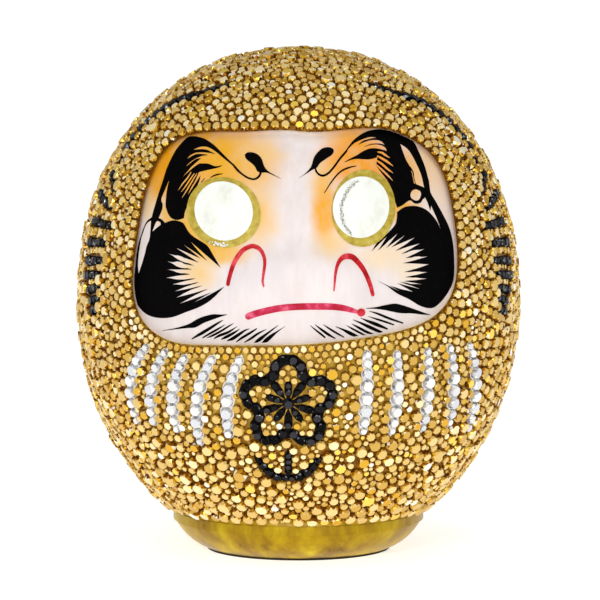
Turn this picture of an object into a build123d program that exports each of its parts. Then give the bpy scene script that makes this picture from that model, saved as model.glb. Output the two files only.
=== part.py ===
from build123d import *
import heapq
import itertools
import math
import os
import random

# Daruma doll: a weighted pressed-paper body with a recessed painted face, covered with flat-back
# crystals. Millimetres. The origin is the centre of the base, +Z is up and the face looks along -Y.
# A place on the body is given by its bearing, in degrees from the middle of the face towards +X,
# and its height.

# Paper body: a superellipse turned about the Z axis, on a short round foot
BODY_RADIUS = 64.5  # at the widest level
BODY_RISE = 74.3  # from the widest level to the top
WIDEST_LEVEL = 74.0
UPPER_POWER = 2.15  # superellipse power above the widest level
LOWER_POWER = 2.03  # and below it
WALL = 2.4
SLIT_WIDTH = 0.5  # cut in the back that the mould came out through
SLIT_LEVELS = (24.0, 124.0)
STRIP_WIDTH = 14.0  # paper strip glued over the slit, inside
STRIP_THICKNESS = 0.6

# Foot
FOOT_RADIUS = 37.0
FOOT_TOP = 12.8  # where the belly meets the foot
JOINT_LEVEL = 9.5  # where the paper body ends and the clay weight begins
NECK_RADIUS = 34.6  # opening in the bottom of the paper body
PLUG_CLEARANCE = 0.3
PLUG_HEIGHT = 3.5  # clay that is pressed up into the opening
BASE_RADIUS = 27.0
FOOT_BULGE = 1.3  # sagitta of the foot's rounded wall
BASE_DISC_RADIUS = 27.2
BASE_DISC_THICKNESS = 0.7
BAND_THICKNESS = 0.25  # paper band over the joint
BAND_LEVELS = (8.9, 11.6)

# Face
FACE_SETBACK = 3.0  # how far the face surface stands back from the body's, along Y
FACE_FULLNESS = 0.4  # radius added to it, so that it is flatter than the body
COAT_THICKNESS = 0.3
FACE_OUTLINE = [  # (x, height), clockwise from the top middle
    (0, 130.6), (14, 130.7), (26, 130.0), (33, 127.0), (38.6, 122.8), (42.3, 117.4), (45.0, 108.5),
    (46.5, 98.5), (46.7, 89.5), (45.2, 82.6), (40.6, 77.0), (33.0, 73.8), (20, 71.7), (4, 70.2),
    (-12, 69.6), (-28, 69.0), (-38.5, 69.6), (-45.0, 73.4), (-48.3, 80.0), (-48.7, 88.0), (-47.4, 98.5),
    (-45.6, 109.0), (-42.8, 117.8), (-38.0, 124.8), (-30, 128.7), (-16, 130.1),
]
FACE_MIDDLE_LEVEL = 100.0
NOSE_CENTRE = (0.5, -56.5, 86.5)
NOSE_SIZE = (21.0, 6.2, 13.0)  # half width, half depth, half height
NOSE_BLEND = 25.0  # radius of the soft hollow round it
# Eyes: x and height of the centre, half the width, half the height
EYE_WHITES = {"left": (-22.0, 107.9, 8.6, 8.3), "right": (18.4, 109.1, 8.3, 8.6)}
EYE_RINGS = {"left": (-22.0, 107.4, 10.9, 9.9), "right": (19.1, 108.7, 9.4, 10.8)}
EYE_WHITE_THICKNESS = 0.45
EYE_RING_THICKNESS = 0.2

# Crystals: each is a flat-backed frustum whose height and table follow from its radius
CRYSTAL_RADII = (0.75, 0.95, 1.15, 1.42, 1.6, 1.95, 2.3)
HEIGHT_RATIO = 0.85
TABLE_RATIO = 0.62
SEAT = 0.02  # glue under a crystal
CRYSTAL_GAP = 0.09  # between neighbours when laid
LEAST_GAP = 0.05
EDGE_GAP = 0.2  # from a crystal to the face opening or the foot
BORDER_RADIUS = 1.42  # round the top and sides of the face
FINE_BORDER_RADIUS = 1.15  # along its lower edge
FINE_BORDER_LEVEL = 76.0

# Clear stripes: bearing and height at the top, the middle and the bottom of each
STRIPES = {
    "left": [
        [(-44.3, 66.4), (-52.0, 54.5), (-53.8, 42.3)],
        [(-37.8, 65.6), (-44.4, 52.5), (-46.0, 42.0)],
        [(-31.6, 64.4), (-36.7, 52.0), (-37.4, 41.0)],
        [(-23.4, 64.8), (-28.7, 52.0), (-30.2, 37.6)],
        [(-15.7, 65.0), (-19.6, 53.0), (-20.3, 40.6)],
    ],
    "right": [
        [(18.3, 66.6), (18.7, 54.0), (18.8, 42.0)],
        [(26.8, 66.0), (27.7, 54.0), (27.7, 41.4)],
        [(36.2, 66.1), (37.6, 54.0), (38.4, 41.8)],
        [(44.0, 66.2), (47.0, 54.0), (49.0, 41.9)],
        [(51.7, 66.1), (57.4, 52.0), (59.8, 38.5)],
    ],
}
STRIPE_RADIUS = 1.95  # largest crystal, in the middle of a stripe
PAINT_MARGIN = 0.18  # painted ground that shows round the clear and the black crystals

# Black hood line and side dashes, on the +X side; the other side is its mirror image
HOOD_LINE = [
    (44, 141.2), (52, 139.3), (61, 136.9), (69, 134.2), (73.5, 130.5), (76, 126), (77, 121), (75, 116.5),
]
HOOD_LINE_RADII = (1.15, 1.6)  # in front and at the rear
SIDE_DASHES = [  # each from its blunt rear end to its pointed front end
    ((76.0, 113.6), (69.0, 109.6)),
    ((81.0, 107.4), (68.0, 105.0)),
    ((77.5, 99.6), (63.0, 100.0)),
    ((78.0, 93.3), (65.5, 94.8)),
    ((76.5, 88.1), (65.5, 89.7)),
    ((76.5, 83.7), (66.0, 85.6)),
    ((73.0, 79.9), (66.0, 81.7)),
    ((70.5, 77.1), (66.0, 78.5)),
    ((69.5, 74.2), (66.0, 75.2)),
]
DASH_RADII = (1.42, 0.95)  # rear and front

# Chest emblem: a five-petalled flower over a pair of leaves
FLOWER_CENTRE = (-3.0, 52.2)  # (x, height)
PETAL_DISTANCE = 9.2  # from the flower's centre to each petal's
PETAL_RADIUS = 4.3
PETAL_SWEEP = 200.0  # degrees of each petal's outline
PETAL_CRYSTALS = 6
PETAL_CRYSTAL_RADIUS = 1.42
FLOWER_HEART_RADIUS = 1.6
FINE_CRYSTAL_RADIUS = 0.95
STAMEN_DISTANCES = (3.4, 5.5)
PARTING_CRYSTALS = ((6.6, 1.15), (4.2, 0.95))  # (distance, radius) on the line between petals
LEAF_ROOT = (-3.0, 28.6)
LEAF_SPREAD = 8.2
LEAF_RISE = 6.2
STEM_REACH = (2.0, 8.0)  # above the root


def body_power(height):
    return UPPER_POWER if height > WIDEST_LEVEL else LOWER_POWER


def body_radius(height, inset=0.0):
    """Radius of the body's outer surface, or of the surface that lies inset mm inside it."""
    power = body_power(height)
    climb = abs(height - WIDEST_LEVEL) / (BODY_RISE - inset)
    return (BODY_RADIUS - inset) * (1 - climb**power) ** (1 / power)


def turned_body(inset, foot_radius, bottom):
    """Solid inside the body surface set in by inset, with a straight foot down to bottom."""
    power = LOWER_POWER
    drop = (1 - (foot_radius / (BODY_RADIUS - inset)) ** power) ** (1 / power)
    foot_level = WIDEST_LEVEL - (BODY_RISE - inset) * drop
    lower_levels = [foot_level + (WIDEST_LEVEL - foot_level) * i / 8 for i in range(8)]
    lower = [(body_radius(level, inset), level) for level in lower_levels]
    upper = []
    for i in range(15):
        turn = math.pi / 2 * i / 14
        radius = (BODY_RADIUS - inset) * math.cos(turn) ** (2 / UPPER_POWER)
        level = WIDEST_LEVEL + (BODY_RISE - inset) * math.sin(turn) ** (2 / UPPER_POWER)
        upper.append((radius, level))
    upper[-1] = (0, WIDEST_LEVEL + BODY_RISE - inset)
    side = Spline(*[(r, 0, z) for r, z in lower + upper])
    rest = Polyline(
        (0, 0, upper[-1][1]), (0, 0, bottom), (foot_radius, 0, bottom), (foot_radius, 0, foot_level)
    )
    return revolve(make_face([side, rest]), Axis.Z)


def face_core(inset=0.0):
    """Solid whose front is the face surface with its nose, set in by inset."""
    core = turned_body(inset - FACE_FULLNESS, FOOT_RADIUS, JOINT_LEVEL)
    core = core.moved(Location((0, FACE_SETBACK, 0)))
    nose = scale(Sphere(1), by=tuple(half - inset for half in NOSE_SIZE))
    joined = core + nose.moved(Location(NOSE_CENTRE))
    seam = joined.edges().sort_by(Axis.Y)[0]
    return fillet(seam, NOSE_BLEND + inset)


def face_prism():
    """Everything in front of the body's middle that lies behind the face opening."""
    outline = Spline(*[(x, 0, z) for x, z in FACE_OUTLINE], periodic=True)
    return extrude(make_face(outline), amount=BODY_RADIUS + 10, dir=(0, -1, 0)), outline


def ellipse_prism(x, height, half_width, half_height):
    """Forward prism over an ellipse."""
    plane = Plane(origin=(x, 0, height), x_dir=(1, 0, 0), z_dir=(0, -1, 0))
    return extrude(plane * Ellipse(half_width, half_height), amount=BODY_RADIUS + 10)


def make_paper_body(prism):
    outer = turned_body(0, FOOT_RADIUS, JOINT_LEVEL)
    recessed = (outer - prism) + (outer & prism & face_core(COAT_THICKNESS))
    hollow = turned_body(WALL, NECK_RADIUS, JOINT_LEVEL) & face_core(COAT_THICKNESS + WALL)
    low, high = SLIT_LEVELS
    slit = Box(SLIT_WIDTH, BODY_RADIUS, high - low).moved(Location((0, BODY_RADIUS, (low + high) / 2)))
    return recessed - hollow - slit


def make_back_slit_strip():
    low, high = SLIT_LEVELS
    outside = turned_body(WALL, NECK_RADIUS, JOINT_LEVEL)
    layer = outside - turned_body(WALL + STRIP_THICKNESS, NECK_RADIUS, JOINT_LEVEL)
    reach = Box(STRIP_WIDTH, BODY_RADIUS, high - low + STRIP_WIDTH)
    return layer & reach.moved(Location((0, BODY_RADIUS * 0.75, (low + high) / 2)))


def make_face_ground_coat(prism):
    return (prism & face_core()) - face_core(COAT_THICKNESS)


def make_eye_white(side):
    layer = face_core(-EYE_WHITE_THICKNESS) - face_core()
    return layer & ellipse_prism(*EYE_WHITES[side])


def make_eye_ring(side):
    layer = face_core(-EYE_RING_THICKNESS) - face_core()
    return layer & (ellipse_prism(*EYE_RINGS[side]) - ellipse_prism(*EYE_WHITES[side]))


def make_foot_weight():
    """Clay weight: the rounded foot, with a plug that fills the body's opening."""
    top = (FOOT_RADIUS, JOINT_LEVEL)
    bottom = (BASE_RADIUS + 0.6, BASE_DISC_THICKNESS)
    run = math.dist(top, bottom)
    middle = [(a + b) / 2 for a, b in zip(top, bottom)]
    outward = ((top[1] - bottom[1]) / run, -(top[0] - bottom[0]) / run)
    bulge = [m + FOOT_BULGE * o for m, o in zip(middle, outward)]
    wall = ThreePointArc((top[0], 0, top[1]), (bulge[0], 0, bulge[1]), (bottom[0], 0, bottom[1]))
    plug_radius = NECK_RADIUS - PLUG_CLEARANCE
    rest = Polyline(
        (bottom[0], 0, bottom[1]),
        (0, 0, bottom[1]),
        (0, 0, JOINT_LEVEL + PLUG_HEIGHT),
        (plug_radius, 0, JOINT_LEVEL + PLUG_HEIGHT),
        (plug_radius, 0, JOINT_LEVEL),
        (top[0], 0, top[1]),
    )
    return revolve(make_face([wall, rest]), Axis.Z)


def make_foot_joint_band():
    low, high = BAND_LEVELS
    band = Cylinder(FOOT_RADIUS + BAND_THICKNESS, high - low) - Cylinder(FOOT_RADIUS, high - low)
    return band.moved(Location((0, 0, (low + high) / 2)))


def make_base_paper_disc():
    disc = Cylinder(BASE_DISC_RADIUS, BASE_DISC_THICKNESS)
    return disc.moved(Location((0, 0, BASE_DISC_THICKNESS / 2)))


# ---- crystals ----


def surface_slope(point):
    """How far a point is outside the body surface, as a ratio, and the gradient of that ratio."""
    x, y, z = point
    power = body_power(z)
    out = max(math.hypot(x, y), 1e-6)
    climb = z - WIDEST_LEVEL
    wide = (out / BODY_RADIUS) ** (power - 1)
    high = (abs(climb) / BODY_RISE) ** (power - 1)
    ratio = wide * out / BODY_RADIUS + high * abs(climb) / BODY_RISE - 1
    across = power * wide / BODY_RADIUS
    upright = math.copysign(power * high / BODY_RISE, climb)
    return ratio, (across * x / out, across * y / out, upright)


def unit(vector):
    length = math.hypot(*vector)
    return tuple(v / length for v in vector)


def on_surface(point):
    """Nearest point of the body surface, and the outward normal there."""
    for _ in range(3):
        ratio, slope = surface_slope(point)
        step = ratio / sum(s * s for s in slope)
        point = tuple(p - step * s for p, s in zip(point, slope))
    return point, unit(surface_slope(point)[1])


def at(bearing, height):
    turn = math.radians(bearing)
    radius = body_radius(height)
    return radius * math.sin(turn), -radius * math.cos(turn), height


def bearing_of(point):
    return math.degrees(math.atan2(point[0], -point[1]))


def at_front(x, height):
    return x, -math.sqrt(body_radius(height) ** 2 - x * x), height


class Crystal:
    def __init__(self, point, normal, radius, group, row):
        self.point = point
        self.normal = normal
        self.radius = radius
        self.keep = radius  # radius that its neighbours stay out of
        self.group = group
        self.row = row

    def solid(self):
        seat = Vector(*self.point) + Vector(*self.normal) * SEAT
        plane = Plane(origin=seat, z_dir=Vector(*self.normal))
        table = self.radius * TABLE_RATIO
        return Solid.make_cone(self.radius, table, self.radius * HEIGHT_RATIO, plane=plane)


class CrystalField:
    """All the crystals laid so far, kept in cubic cells so that neighbours are quick to find."""

    CELL = 2 * CRYSTAL_RADII[-1] + CRYSTAL_GAP

    def __init__(self):
        self.crystals = []
        self.cells = {}

    def cell_of(self, point):
        return tuple(math.floor(p / self.CELL) for p in point)

    def around(self, point):
        i, j, k = self.cell_of(point)
        for a in (i - 1, i, i + 1):
            for b in (j - 1, j, j + 1):
                for c in (k - 1, k, k + 1):
                    yield from self.cells.get((a, b, c), ())

    def fits(self, point, radius):
        return all(
            math.dist(point, other.point) >= radius + other.keep + LEAST_GAP for other in self.around(point)
        )

    def block(self, point):
        """Mark a point that no crystal may cover."""
        mark = Crystal(point, None, EDGE_GAP - LEAST_GAP, None, 0)
        self.cells.setdefault(self.cell_of(point), []).append(mark)

    def lay(self, point, radius, group, row=0):
        """Lay a crystal if there is room for it."""
        point, normal = on_surface(point)
        if not self.fits(point, radius):
            return None
        crystal = Crystal(point, normal, radius, group, row)
        self.crystals.append(crystal)
        self.cells.setdefault(self.cell_of(point), []).append(crystal)
        return crystal

    def lay_line(self, place, length, radius_at, group):
        """Lay touching crystals along a line: place and radius_at take a ratio from 0 to 1."""
        steps = max(2, round(length / 0.1))
        for i in range(steps + 1):
            ratio = i / steps
            self.lay(place(ratio), radius_at(ratio), group)

    def grow(self, sizes_at, group, rng, largest):
        """Lay crystals, row after row, each against two that are already there."""
        front = []
        ticket = itertools.count()
        for crystal in self.crystals:
            self.add_pairs(front, ticket, crystal)
        while front:
            row, _, first, second, side = heapq.heappop(front)
            for radius in sizes_at(first.point, rng):
                if radius > largest:
                    continue
                spot = nook(first, second, radius, side)
                crystal = spot and self.lay(spot, radius, group, row + 1)
                if crystal:
                    self.add_pairs(front, ticket, crystal)
                    break

    def add_pairs(self, front, ticket, crystal):
        reach = 2 * CRYSTAL_RADII[-1] + CRYSTAL_GAP
        for other in self.around(crystal.point):
            if other is crystal or other.normal is None:
                continue
            gap = math.dist(crystal.point, other.point) - crystal.keep - other.keep
            if gap < reach * 0.6:
                row = max(crystal.row, other.row)
                for side in (1, -1):
                    heapq.heappush(front, (row, next(ticket), crystal, other, side))


def nook(first, second, radius, side):
    """Centre of a crystal of this radius that rests against two others, on one side of them."""
    apart = math.dist(first.point, second.point)
    to_first = first.keep + radius + CRYSTAL_GAP
    to_second = second.keep + radius + CRYSTAL_GAP
    along = (apart**2 + to_first**2 - to_second**2) / (2 * apart)
    off_squared = to_first**2 - along**2
    if off_squared <= 0:
        return None
    a = [(q - p) / apart for p, q in zip(first.point, second.point)]
    n = unit([p + q for p, q in zip(first.normal, second.normal)])
    across = (n[1] * a[2] - n[2] * a[1], n[2] * a[0] - n[0] * a[2], n[0] * a[1] - n[1] * a[0])
    off = side * math.sqrt(off_squared)
    return tuple(p + u * along + v * off for p, u, v in zip(first.point, a, across))


def nearest_size(radius):
    return min(CRYSTAL_RADII, key=lambda size: abs(size - radius))


def lay_face_border(field, outline):
    """One row of equal crystals round the face opening."""
    steps = round(outline.length / 0.1)
    edge = []
    for i in range(steps):
        spot = outline @ (i / steps)
        edge.append(at_front(spot.X, spot.Z))
        if i % 6 == 0:
            field.block(edge[-1])
    centre = (0, -BODY_RADIUS, FACE_MIDDLE_LEVEL)
    for before, here in zip(edge[-1:] + edge[:-1], edge):
        normal = on_surface(here)[1]
        run = unit([q - p for p, q in zip(before, here)])
        out = (
            run[1] * normal[2] - run[2] * normal[1],
            run[2] * normal[0] - run[0] * normal[2],
            run[0] * normal[1] - run[1] * normal[0],
        )
        if sum(o * (h - c) for o, h, c in zip(out, here, centre)) < 0:
            out = [-o for o in out]
        radius = BORDER_RADIUS if here[2] > FINE_BORDER_LEVEL else FINE_BORDER_RADIUS
        spot = [h + o * (radius + EDGE_GAP) for h, o in zip(here, out)]
        field.lay(spot, radius, "face_border_crystals")


def lay_foot_border(field, rng):
    """The lowest row: large crystals of mixed size that end a little unevenly over the foot."""
    steps = 2400
    radius = 1.95
    sink = 0.0
    for i in range(steps):
        bearing = 360 * i / steps
        if i % 6 == 0:
            field.block(at(bearing, FOOT_TOP + 0.05))
        rise = (radius + EDGE_GAP + sink) * 0.62
        if field.lay(at(bearing, FOOT_TOP + 0.1 + rise), radius, "foot_border_crystals"):
            radius = rng.choice((1.6, 1.95, 1.95, 2.3))
            sink = rng.uniform(0.0, 0.9)


def lay_stripe(field, points, group):
    curve = Spline(*points)

    def place(ratio):
        spot = curve @ ratio
        return at(spot.X, spot.Y)

    def radius_at(ratio):
        return nearest_size(STRIPE_RADIUS * math.sin(math.pi * (0.12 + 0.76 * ratio)) ** 0.6)

    top, bottom = at(*points[0]), at(*points[-1])
    field.lay_line(place, math.dist(top, bottom), radius_at, group)


def lay_hood_line(field, sign, group):
    curve = Spline(*HOOD_LINE)

    def place(ratio):
        spot = curve @ ratio
        return at(sign * spot.X, spot.Y)

    def radius_at(ratio):
        if 0.08 < ratio < 0.94:
            return HOOD_LINE_RADII[0 if ratio < 0.3 else 1]
        return FINE_CRYSTAL_RADIUS

    field.lay_line(place, 70.0, radius_at, group)


def lay_dash(field, sign, dash, group):
    (rear, rear_height), (front, front_height) = dash

    def place(ratio):
        bearing = rear + (front - rear) * ratio
        return at(sign * bearing, rear_height + (front_height - rear_height) * ratio)

    def radius_at(ratio):
        return nearest_size(DASH_RADII[0] + (DASH_RADII[1] - DASH_RADII[0]) * ratio)

    length = math.dist(place(0), place(1))
    field.lay_line(place, length, radius_at, group)


def lay_flower(field, group):
    """Five open petals parted by short lines, round a heart with stamens."""
    x, height = FLOWER_CENTRE

    def lay_polar(distance, degrees, radius):
        angle = math.radians(90 + degrees)
        spot = at_front(x + distance * math.cos(angle), height + distance * math.sin(angle))
        field.lay(spot, radius, group)

    lay_polar(0, 0, FLOWER_HEART_RADIUS)
    for petal in range(5):
        turn = 72 * petal
        for i in range(PETAL_CRYSTALS):
            swing = math.radians(PETAL_SWEEP * (i / (PETAL_CRYSTALS - 1) - 0.5))
            outward = PETAL_DISTANCE + PETAL_RADIUS * math.cos(swing)
            aside = PETAL_RADIUS * math.sin(swing)
            slant = math.degrees(math.atan2(aside, outward))
            lay_polar(math.hypot(outward, aside), turn + slant, PETAL_CRYSTAL_RADIUS)
        for distance in STAMEN_DISTANCES:
            lay_polar(distance, turn, FINE_CRYSTAL_RADIUS)
        for distance, radius in PARTING_CRYSTALS:
            lay_polar(distance, turn + 36, radius)


def lay_leaves(field, group):
    """A short upright stem with a leaf rising to each side."""
    x, height = LEAF_ROOT
    for side in (-1, 1):

        def on_leaf(ratio):
            bow = 1.6 * math.sin(math.pi * ratio)
            return at_front(x + side * (0.9 + LEAF_SPREAD * ratio), height + LEAF_RISE * ratio - bow)

        def radius_at(ratio):
            return nearest_size(0.9 + 0.6 * math.sin(math.pi * ratio))

        field.lay_line(on_leaf, math.hypot(LEAF_SPREAD, LEAF_RISE), radius_at, group)
    field.lay_line(
        lambda ratio: at_front(x, height + STEM_REACH[0] + (STEM_REACH[1] - STEM_REACH[0]) * ratio),
        STEM_REACH[1] - STEM_REACH[0],
        lambda ratio: FINE_CRYSTAL_RADIUS,
        group,
    )


def gold_sizes(point, rng):
    """Radii to try for a gold crystal here: one drawn from the local mix, then smaller ones."""
    height = point[2]
    bearing = abs(bearing_of(point))
    if bearing < 62 and 73 < height < 141:
        mix = (0, 0, 0, 7, 3, 0, 0)  # neat rows round the face
    elif height >= 128:
        mix = (0, 0, 2, 4, 3, 2, 0)
    elif height >= 70:
        mix = (0, 0, 1, 4, 3, 3, 0)
    elif bearing < 56 and height > 63:
        mix = (0, 4, 4, 2, 0, 0, 0)  # fine crystals under the face
    elif bearing < 62 and height > 40:
        mix = (0, 1, 2, 4, 3, 2, 0)
    elif height > 40:
        mix = (0, 0, 1, 3, 3, 3, 0)
    else:
        mix = (0, 0, 2, 2, 2, 5, 1)
    first = rng.choices(range(len(CRYSTAL_RADII)), weights=mix)[0]
    return CRYSTAL_RADII[first::-1]


def gold_group(point):
    """Name of the node that a gold crystal at this point belongs to."""
    x, y, height = point
    side = "left" if x < 0 else "right"
    if height >= 128:
        return "crown_crystals"
    if y >= 0:
        return f"{side}_back_crystals" if height >= 48 else "lower_back_crystals"
    if height >= 68:
        return f"{side}_cheek_crystals"
    return "chest_crystals" if height >= 40 else "belly_crystals"


def lay_all_crystals(outline):
    rng = random.Random(15)
    field = CrystalField()
    lay_face_border(field, outline)
    lay_foot_border(field, rng)
    for side, stripes in STRIPES.items():
        for number, points in enumerate(stripes, start=1):
            lay_stripe(field, points, f"{side}_stripe_crystals_{number}")
    lay_flower(field, "chest_flower_crystals")
    lay_leaves(field, "chest_leaf_crystals")
    for side, sign in (("left", -1), ("right", 1)):
        lay_hood_line(field, sign, f"{side}_hood_line_crystals")
        for dash in SIDE_DASHES:
            lay_dash(field, sign, dash, f"{side}_side_dash_crystals")
    for crystal in field.crystals:
        if "border" not in crystal.group:
            crystal.keep += PAINT_MARGIN
    for largest in (CRYSTAL_RADII[-1], CRYSTAL_RADII[3], CRYSTAL_RADII[1], CRYSTAL_RADII[0]):
        field.grow(gold_sizes, "gold", rng, largest)
    return field.crystals


def group_crystals(crystals):
    groups = {}
    for crystal in crystals:
        name = gold_group(crystal.point) if crystal.group == "gold" else crystal.group
        groups.setdefault(name, []).append(crystal)
    return groups


def save(part, name):
    export_step(part, f"parts/{name}.step")


os.makedirs("parts", exist_ok=True)
opening, face_outline = face_prism()
save(make_paper_body(opening), "paper_body")
save(make_back_slit_strip(), "back_slit_strip")
save(make_face_ground_coat(opening), "face_ground_coat")
for side_name in ("left", "right"):
    save(make_eye_white(side_name), f"{side_name}_eye_white")
    save(make_eye_ring(side_name), f"{side_name}_eye_ring")
save(make_foot_weight(), "foot_weight")
save(make_foot_joint_band(), "foot_joint_band")
save(make_base_paper_disc(), "base_paper_disc")
for group_name, members in group_crystals(lay_all_crystals(face_outline)).items():
    print(group_name, len(members))
    save(Compound([crystal.solid() for crystal in members]), group_name)
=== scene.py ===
import math
import random

import bpy
import numpy as np
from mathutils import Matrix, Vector
from mathutils.bvhtree import BVHTree
from mathutils.geometry import delaunay_2d_cdt


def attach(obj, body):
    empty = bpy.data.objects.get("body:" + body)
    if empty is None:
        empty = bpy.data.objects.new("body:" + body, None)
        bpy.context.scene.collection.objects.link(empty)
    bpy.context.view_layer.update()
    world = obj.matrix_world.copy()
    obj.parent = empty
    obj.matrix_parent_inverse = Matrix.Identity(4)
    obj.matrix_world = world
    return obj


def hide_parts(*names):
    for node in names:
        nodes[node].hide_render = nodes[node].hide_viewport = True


# The looks of the daruma doll: cut crystals, painted face, foot. Metres, +Z up, the face looks along -Y.

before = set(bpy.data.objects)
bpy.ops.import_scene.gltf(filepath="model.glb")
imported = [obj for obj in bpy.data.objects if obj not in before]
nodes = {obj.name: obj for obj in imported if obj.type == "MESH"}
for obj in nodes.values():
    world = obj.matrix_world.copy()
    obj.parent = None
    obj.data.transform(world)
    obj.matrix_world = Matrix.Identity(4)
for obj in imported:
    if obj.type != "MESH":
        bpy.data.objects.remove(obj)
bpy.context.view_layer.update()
MM = 0.001
BODY_MIDDLE = 0.075  # height of the middle of the body

# -------------------------------------------------- shader helpers

STROKE_SPAN = (0.3, 0.7)  # the noise values between which nearly all of a coat lies
STROKE_DEPTH = 0.0002


def srgb(red, green, blue):
    """Linear colour from the usual 0-255 display values."""
    values = [c / 255 for c in (red, green, blue)]
    return tuple(c / 12.92 if c <= 0.04045 else ((c + 0.055) / 1.055) ** 2.4 for c in values)


def new_material(name, roughness=0.5, metallic=0.0, coat=0.0, colour=(200, 200, 200)):
    """A material of one colour, and its shader."""
    material = bpy.data.materials.new(name)
    material.use_nodes = True
    shader = material.node_tree.nodes["Principled BSDF"]
    shader.inputs["Base Color"].default_value = (*srgb(*colour), 1)
    shader.inputs["Roughness"].default_value = roughness
    shader.inputs["Metallic"].default_value = metallic
    shader.inputs["Coat Weight"].default_value = coat
    shader.inputs["Coat Roughness"].default_value = 0.08
    return material, shader


def add_node(material, kind, inputs=None, **settings):
    node = material.node_tree.nodes.new(kind)
    for name, value in settings.items():
        setattr(node, name, value)
    for name, value in (inputs or {}).items():
        node.inputs[name].default_value = value
    return node


def link(material, output, target):
    material.node_tree.links.new(output, target)


def object_place(material):
    return add_node(material, "ShaderNodeTexCoord").outputs["Object"]


def noise(material, scale, detail=4.0, stretch=(1, 1, 1), roughness=0.6):
    """Noise over the object's own coordinates, in metres, drawn out along an axis by a small stretch."""
    mapping = add_node(material, "ShaderNodeMapping", {"Scale": stretch})
    link(material, object_place(material), mapping.inputs["Vector"])
    inputs = {"Scale": scale, "Detail": detail, "Roughness": roughness}
    texture = add_node(material, "ShaderNodeTexNoise", inputs)
    link(material, mapping.outputs["Vector"], texture.inputs["Vector"])
    return texture.outputs["Fac"]


def ramp(material, value, stops):
    """The colour for a value, from stops of (value, colour)."""
    node = add_node(material, "ShaderNodeValToRGB")
    elements = node.color_ramp.elements
    while len(elements) < len(stops):
        elements.new(0.5)
    for element, (position, colour) in zip(elements, stops):
        element.position = position
        element.color = (*srgb(*colour), 1)
    link(material, value, node.inputs["Fac"])
    return node.outputs["Color"]


def spread(material, value, low, high, out_low, out_high):
    """The value carried smoothly from one range to another."""
    inputs = {"From Min": low, "From Max": high, "To Min": out_low, "To Max": out_high}
    node = add_node(material, "ShaderNodeMapRange", inputs, interpolation_type="SMOOTHSTEP")
    link(material, value, node.inputs["Value"])
    return node.outputs["Result"]


def bump(material, shader, value, strength, distance):
    node = add_node(material, "ShaderNodeBump", {"Strength": strength, "Distance": distance})
    link(material, value, node.inputs["Height"])
    link(material, node.outputs["Normal"], shader.inputs["Normal"])


def product(material, first, second):
    """first times second. second may be a plain number."""
    node = add_node(material, "ShaderNodeMath", operation="MULTIPLY")
    link(material, first, node.inputs[0])
    if isinstance(second, float):
        node.inputs[1].default_value = second
    else:
        link(material, second, node.inputs[1])
    return node.outputs["Value"]


def vector_math(material, operation, *values):
    """A node that reckons with vectors. Each value is a node's output or a plain vector."""
    node = add_node(material, "ShaderNodeVectorMath", operation=operation)
    for socket, value in zip(node.inputs, values):
        if isinstance(value, tuple):
            socket.default_value = value
        else:
            link(material, value, socket)
    return node


def mix(material, share, low, high):
    """low where share is 0, high where it is 1. high may be a plain colour."""
    node = add_node(material, "ShaderNodeMix", data_type="RGBA")
    link(material, share, node.inputs["Factor"])
    link(material, low, node.inputs["A"])
    if isinstance(high, tuple):
        node.inputs["B"].default_value = (*srgb(*high), 1)
    else:
        link(material, high, node.inputs["B"])
    return node.outputs["Result"]


def painted(
    name, stops, scale, roughness, stretch=(1, 1, 1), metallic=0.0, coat=0.0, relief=0.3, specular=0.5
):
    """A brushed coat: colour wanders over the stops, gloss and relief follow the same strokes."""
    material, shader = new_material(name, roughness, metallic, coat)
    shader.inputs["Specular IOR Level"].default_value = specular
    brushing = noise(material, scale, detail=5.0, stretch=stretch)
    link(material, ramp(material, brushing, stops), shader.inputs["Base Color"])
    gloss = spread(material, brushing, *STROKE_SPAN, roughness - 0.08, roughness + 0.12)
    link(material, gloss, shader.inputs["Roughness"])
    bump(material, shader, brushing, relief, STROKE_DEPTH)
    return material


# -------------------------------------------------- meshes


def make_piece(name, points, faces, materials, face_materials=None):
    """A visual piece on the doll's one body."""
    mesh = bpy.data.meshes.new(name)
    mesh.from_pydata([tuple(p) for p in points], [], faces)
    for material in materials:
        mesh.materials.append(material)
    if face_materials is not None:
        mesh.polygons.foreach_set("material_index", face_materials)
    mesh.validate()
    mesh.update()
    piece = bpy.data.objects.new(name, mesh)
    bpy.context.scene.collection.objects.link(piece)
    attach(piece, "root")
    return piece


# -------------------------------------------------- crystals

FLATNESS = 0.02  # thickness over width below which a surface counts as flat


def blocks(mesh):
    """The mesh's separate surfaces, each a run of neighbouring vertices, as (first, end) pairs."""
    count = len(mesh.vertices)
    corners = np.zeros(len(mesh.loops), np.int64)
    mesh.loops.foreach_get("vertex_index", corners)
    triangles = corners.reshape(-1, 3)
    cover = np.zeros(count + 1, np.int64)
    np.add.at(cover, triangles.min(1), 1)
    np.add.at(cover, triangles.max(1), -1)
    ends = np.flatnonzero(np.cumsum(cover)[:count] == 0) + 1
    return list(zip(np.concatenate([[0], ends[:-1]]), ends))


def vertex_table(mesh):
    points = np.zeros(len(mesh.vertices) * 3)
    mesh.vertices.foreach_get("co", points)
    return points.reshape(-1, 3)


def disc(points):
    """Centre and radius of a flat round face."""
    rim = np.unique(points.round(7), axis=0)
    centre = rim.mean(0)
    return centre, np.linalg.norm(rim - centre, axis=1).mean()


def is_flat(points):
    sizes = np.linalg.svd(points - points.mean(0), compute_uv=False)
    return sizes[2] < FLATNESS * sizes[0]


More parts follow.
